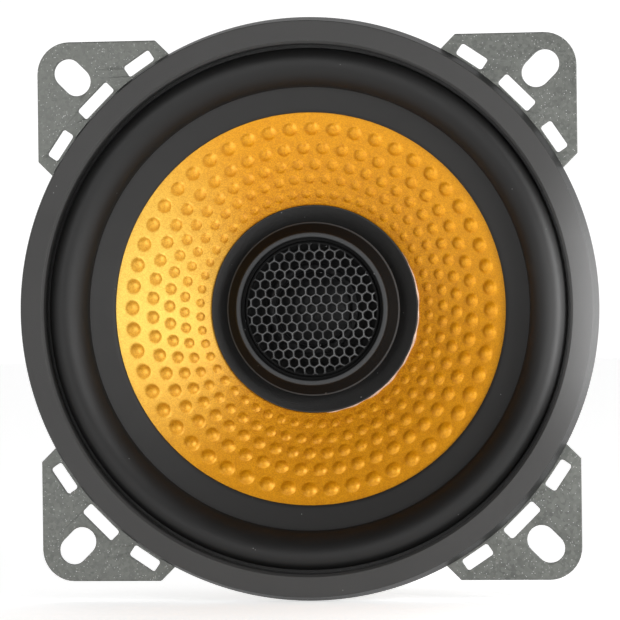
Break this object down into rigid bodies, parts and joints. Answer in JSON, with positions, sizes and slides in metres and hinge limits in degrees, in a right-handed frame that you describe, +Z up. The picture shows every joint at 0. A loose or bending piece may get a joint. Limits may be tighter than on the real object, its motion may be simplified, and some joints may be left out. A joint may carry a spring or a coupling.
{
  "type": "coaxial car speaker",
  "caption": "Round coaxial speaker: stamped basket with slotted ears, half-roll edge, embossed amber cone and a fixed tweeter pod under a mesh grille.",
  "frame": {"origin": "centre of the mounting plane, which is the rear face of the basket's flange", "axes": "-Y out of the speaker's front towards the listener, +Z up, +X to the listener's right"},
  "size_m": [0.1014, 0.0527, 0.1014],
  "materials": {
    "basket_steel": "zinc plated sheet with a fine spangle, satin",
    "gasket": "matte charcoal",
    "roll_rubber": "satin black rubber",
    "spider_cloth": "resin treated cloth",
    "plated_steel": "bright zinc plate",
    "ferrite": "ground dark grey ferrite",
    "board": "brown phenolic sheet",
    "tin_plate": "tin plate",
    "tinsel_braid": "tinned copper braid",
    "pod_plastic": "satin black moulding",
    "grille_steel": "dark satin paint on pressed steel mesh",
    "dome_film": "thin polyimide film",
    "bright_magnet": "nickel plate",
    "wire_red": "red insulation",
    "wire_black": "black insulation",
    "capacitor_sleeve": "dark shrink sleeve",
    "adhesive": "cream adhesive bead",
    "cone_amber": "amber metallic lacquer over an embossed cone",
    "collar_black": "matte black felt-like paper",
    "former_paper": "varnished kraft paper",
    "copper_wire": "enamelled copper wire"
  },
  "bodies": {
    "chassis": {"basket": "basket_steel", "trim_ring": "gasket", "surround": "roll_rubber", "spider": "spider_cloth", "top_plate": "plated_steel", "magnet_ring": "ferrite", "pole_yoke": "plated_steel", "plate_rivets": "plated_steel", "terminal_board": "board", "terminal_positive": "tin_plate", "terminal_negative": "tin_plate", "terminal_rivets": "tin_plate", "tinsel_lead_positive": "tinsel_braid", "tinsel_lead_negative": "tinsel_braid", "tweeter_post": "plated_steel", "post_washer": "plated_steel", "post_nut": "plated_steel", "tweeter_housing": "pod_plastic", "tweeter_face_plate": "pod_plastic", "tweeter_grille": "grille_steel", "tweeter_suspension": "dome_film", "tweeter_magnet": "bright_magnet", "tweeter_cup": "plated_steel", "tweeter_pole_washer": "plated_steel", "tweeter_lead_positive": "wire_red", "tweeter_lead_negative": "wire_black", "capacitor": "capacitor_sleeve", "capacitor_leads": "tin_plate", "capacitor_pad": "adhesive"},
    "cone_assembly": {"cone": "cone_amber", "cone_collar": "collar_black", "coil_former": "former_paper", "voice_coil": "copper_wire", "dust_seal": "collar_black", "lead_eyelets": "tinsel_braid"},
    "tweeter_diaphragm": {"tweeter_dome": "dome_film", "tweeter_coil": "copper_wire"}
  },
  "joints": [
    {"name": "cone_travel", "type": "slide", "parent": "chassis", "child": "cone_assembly", "axis": [0, -1, 0], "range_m": [-0.0025, 0.0025], "stiffness_N_per_m": 1800, "deforming": ["surround", "spider", "tinsel_lead_positive", "tinsel_lead_negative"]},
    {"name": "tweeter_dome_travel", "type": "slide", "parent": "chassis", "child": "tweeter_diaphragm", "axis": [0, -1, 0], "range_m": [-0.0002, 0.0002], "stiffness_N_per_m": 300, "deforming": ["tweeter_suspension"]}
  ]
}
